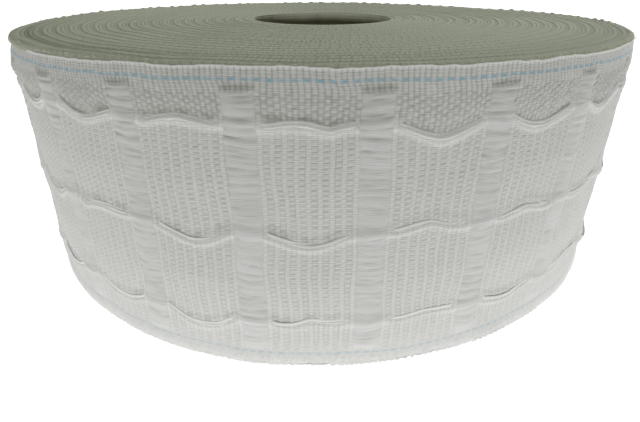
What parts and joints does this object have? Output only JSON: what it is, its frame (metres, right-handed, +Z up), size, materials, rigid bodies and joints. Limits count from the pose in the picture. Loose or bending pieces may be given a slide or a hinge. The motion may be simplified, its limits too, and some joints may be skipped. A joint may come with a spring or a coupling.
{
  "type": "roll of curtain heading tape",
  "caption": "Roll of white woven pencil-pleat heading tape, wound round an open centre and stood on its flat end, with draw cords laid under bands of loose floats.",
  "frame": {"origin": "middle of the bottom end of the roll, on the surface that it stands on", "axes": "+Z up along the roll's winding axis, -Y towards the viewer of the picture"},
  "size_m": [0.2083, 0.209, 0.075],
  "materials": {
    "tape": "matt white woven polyester with a blue marker line at each edge",
    "draw_cord": "soft white twisted yarn with a slight sheen"
  },
  "bodies": {
    "root": {"tape_roll": "tape", "draw_cord_top": "draw_cord", "draw_cord_middle": "draw_cord", "draw_cord_bottom": "draw_cord"}
  },
  "joints": []
}
